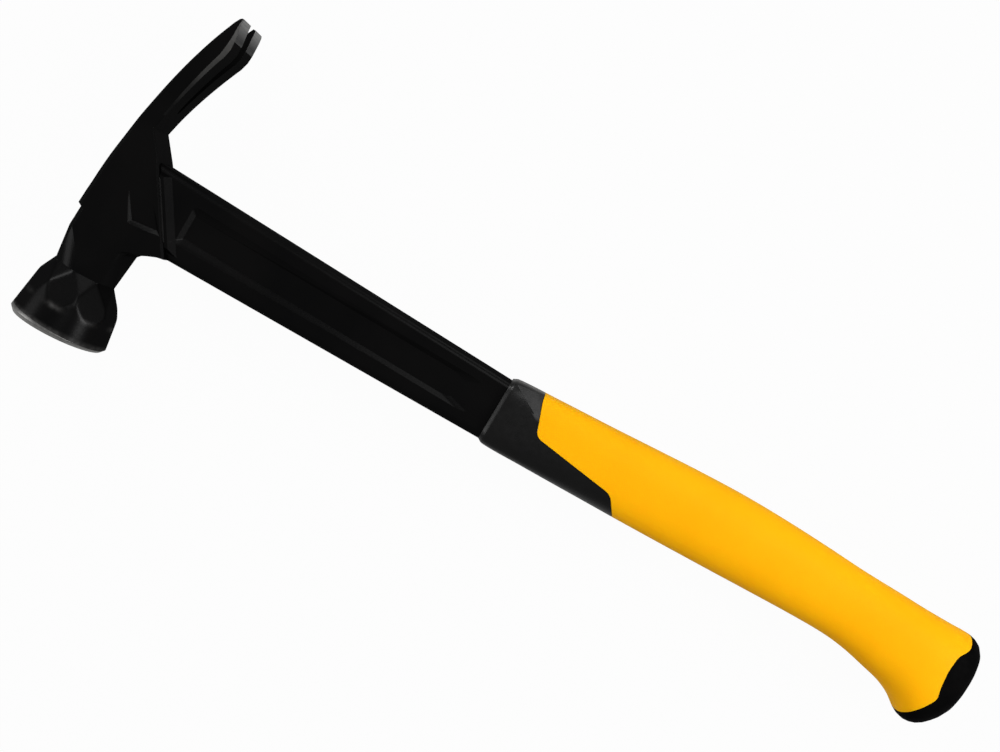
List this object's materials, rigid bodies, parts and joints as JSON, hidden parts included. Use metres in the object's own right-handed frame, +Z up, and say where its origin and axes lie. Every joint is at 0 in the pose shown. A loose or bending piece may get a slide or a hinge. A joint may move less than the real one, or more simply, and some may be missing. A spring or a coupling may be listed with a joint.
{
  "type": "straight claw hammer",
  "caption": "Straight claw framing hammer: flared striking bell, V-slotted nail claw, hollow welded steel shaft with recessed side panels, and a soft moulded grip with collar and butt cap.",
  "frame": {"origin": "centre of the bottom of the whole hammer's box, with the hammer on its side", "axes": "+X along the shaft from the head to the butt, +Y from the strike face to the claw, +Z up across the shaft"},
  "size_m": [0.4088, 0.146, 0.041],
  "materials": {
    "black_paint": "satin black paint on steel",
    "weld_paint": "satin black paint on weld metal",
    "black_nylon": "hard black moulding",
    "yellow_rubber": "soft yellow moulding, satin"
  },
  "bodies": {
    "root": {"head_forging": "black_paint", "striking_poll": "black_paint", "poll_weld": "weld_paint", "shaft_shell_upper": "black_paint", "shaft_shell_lower": "black_paint", "seam_weld_claw_side": "weld_paint", "seam_weld_face_side": "weld_paint", "head_weld_upper": "weld_paint", "head_weld_lower": "weld_paint", "grip_core": "black_nylon", "grip_overmould": "yellow_rubber", "butt_cap": "black_nylon"}
  },
  "joints": []
}
